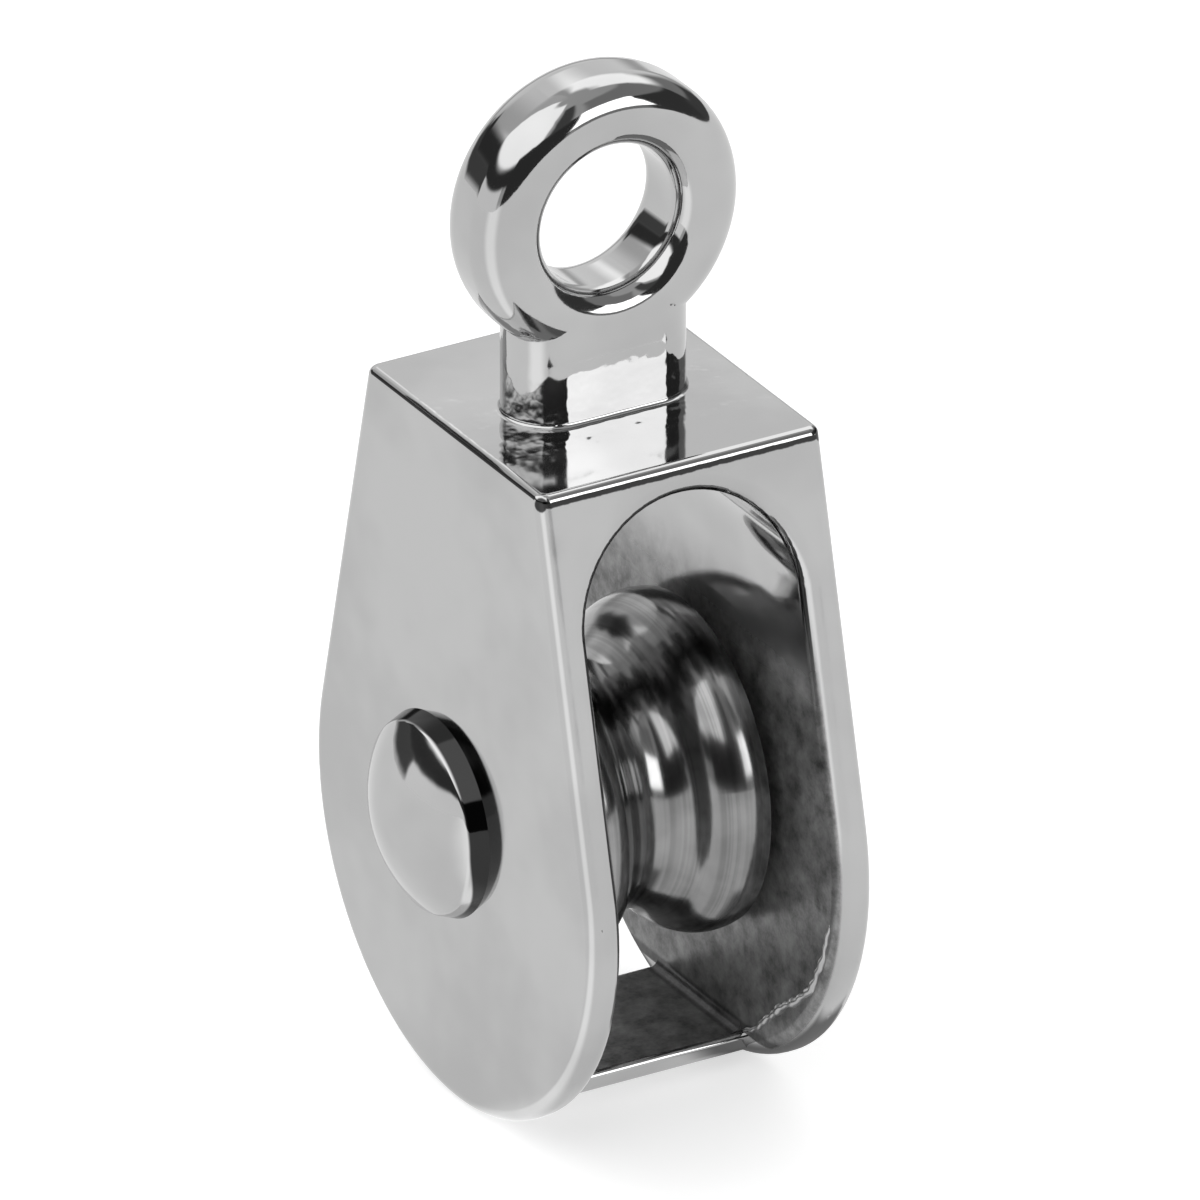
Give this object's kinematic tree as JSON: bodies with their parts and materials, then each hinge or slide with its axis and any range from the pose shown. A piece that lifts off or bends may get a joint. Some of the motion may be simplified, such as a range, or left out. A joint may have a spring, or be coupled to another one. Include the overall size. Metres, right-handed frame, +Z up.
{
  "type": "rigid eye pulley block",
  "caption": "Small plated pulley block: a grooved sheave turns on a riveted axle between pear-shaped cheeks of a one-piece casting, hung from a rigid eye.",
  "frame": {"origin": "centre of the eye, midway through its thickness", "axes": "+Z up, away from the sheave; the eye's hole runs along Y, front at -Y; the sheave's axle runs along X, the rivet's domed head at -X"},
  "size_m": [0.0209, 0.0292, 0.058],
  "materials": {
    "plated_casting": "bright nickel plate over a smooth die casting",
    "turned_sheave": "turned and dull plated, fine marks round the groove",
    "plated_rivet": "bright nickel plate"
  },
  "bodies": {
    "frame": {"block_body": "plated_casting", "axle_rivet": "plated_rivet"},
    "sheave": {"sheave": "turned_sheave"}
  },
  "joints": [
    {"name": "sheave_spin", "type": "hinge", "parent": "frame", "child": "sheave", "pos_m": [0, 0, -0.0334], "axis": [1, 0, 0], "continuous": true}
  ]
}
